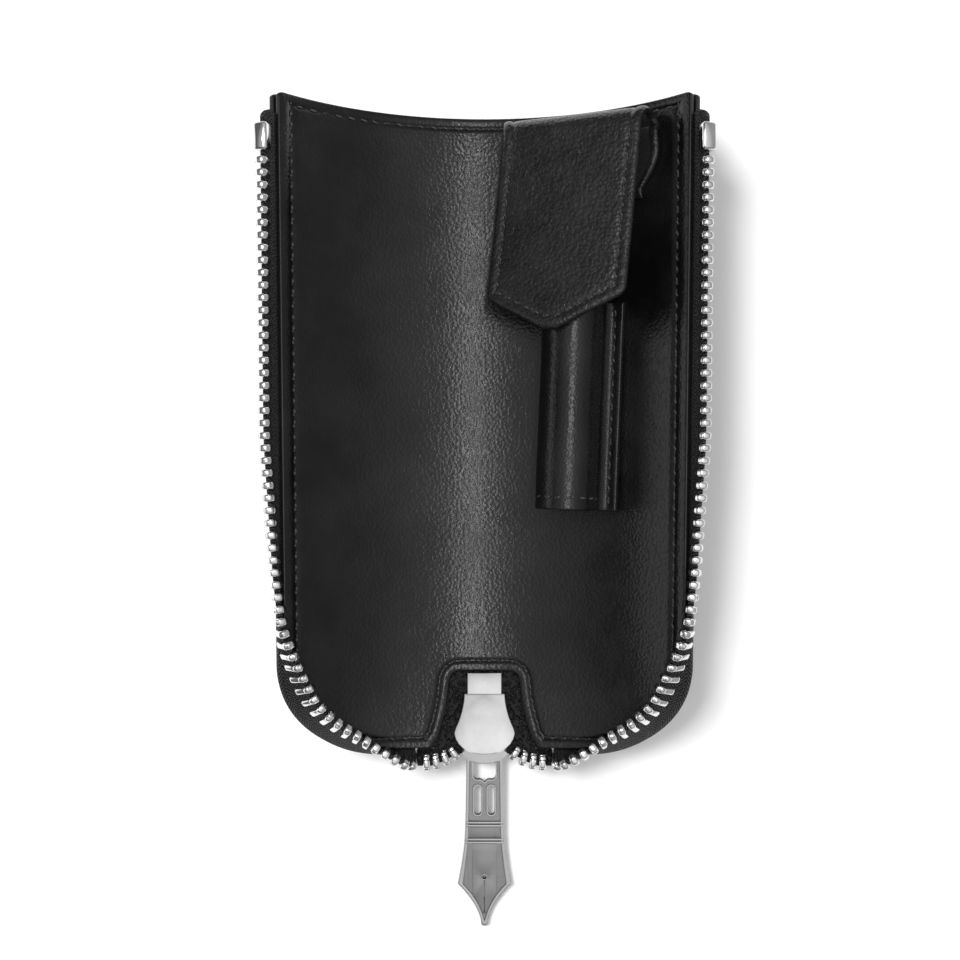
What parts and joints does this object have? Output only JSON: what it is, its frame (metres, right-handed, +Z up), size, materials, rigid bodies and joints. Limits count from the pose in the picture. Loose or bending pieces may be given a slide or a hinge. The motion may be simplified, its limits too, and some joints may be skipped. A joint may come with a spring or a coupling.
{
  "type": "fountain pen case",
  "caption": "Zip-around leather pen pouch lying open, with a pen sleeve, a covering flap, a metal zip along its edge and a nib-shaped zip puller.",
  "frame": {"origin": "middle of the whole length and width, on the surface that the open case lies on", "axes": "+X across the case to the side with the sleeve, +Y along the spine to the open top end, +Z up out of the open case"},
  "size_m": [0.1038, 0.2004, 0.0303],
  "materials": {
    "outer_leather": "smooth fine grain, semi-gloss black",
    "lining_leather": "smooth fine grain, satin black",
    "sleeve_leather": "smooth, semi-gloss black",
    "flap_leather": "smooth fine grain, satin black",
    "flap_suede": "napped black suede",
    "board": "plain grey board",
    "zip_tape": "woven black herringbone tape",
    "zip_teeth": "polished nickel plate",
    "zip_stops": "polished nickel plate",
    "slider_metal": "polished nickel plate",
    "puller_metal": "satin nickel plate, polished rim",
    "thread": "waxed black thread"
  },
  "bodies": {
    "spine": {"outer_leather_spine": "outer_leather", "spine_board": "board", "lining_spine": "lining_leather", "notch_tape_left": "zip_tape", "notch_tape_right": "zip_tape", "lead_teeth_left": "zip_teeth", "lead_teeth_right": "zip_teeth", "closed_teeth": "zip_teeth", "bottom_stop": "zip_stops", "stitching_spine": "thread"},
    "left_cover": {"outer_leather_left": "outer_leather", "cover_board_left": "board", "lining_left": "lining_leather", "zip_tape_left": "zip_tape", "zip_teeth_left": "zip_teeth", "top_stop_left": "zip_stops", "stitching_left": "thread"},
    "right_cover": {"outer_leather_right": "outer_leather", "cover_board_right": "board", "lining_right": "lining_leather", "zip_tape_right": "zip_tape", "zip_teeth_right": "zip_teeth", "top_stop_right": "zip_stops", "stitching_right": "thread", "pen_sleeve": "sleeve_leather", "flap_back": "flap_leather", "flap_loop": "flap_leather", "stitching_sleeve": "thread"},
    "flap": {"flap_front": "flap_leather", "flap_suede": "flap_suede", "stitching_flap": "thread"},
    "slider": {"slider_inner_plate": "slider_metal", "slider_outer_plate": "slider_metal", "slider_wedge": "slider_metal", "slider_bridge": "slider_metal", "teeth_in_slider": "zip_teeth"},
    "puller": {"nib_puller": "puller_metal"}
  },
  "joints": [
    {"name": "left_fold", "type": "hinge", "parent": "spine", "child": "left_cover", "pos_m": [-0.006, 0, 0.005], "axis": [0, 1, 0], "range_deg": [0, 66.5], "deforming": ["notch_tape_left", "lead_teeth_left"]},
    {"name": "right_fold", "type": "hinge", "parent": "spine", "child": "right_cover", "pos_m": [0.006, 0, 0.005], "axis": [0, -1, 0], "range_deg": [0, 66.5], "deforming": ["notch_tape_right", "lead_teeth_right"]},
    {"name": "flap_open", "type": "hinge", "parent": "right_cover", "child": "flap", "pos_m": [0.01868, 0.09298, 0.01917], "axis": [0.9304, 0, 0.3665], "range_deg": [-120, 0]},
    {"name": "slider_run", "type": "slide", "parent": "spine", "child": "slider", "axis": [0, -0.9732, 0.2302], "range_m": [0, 0.01]},
    {"name": "puller_swing", "type": "hinge", "parent": "slider", "child": "puller", "pos_m": [0, -0.05404, 0.00344], "axis": [1, 0, 0], "range_deg": [-15, 150]}
  ]
}
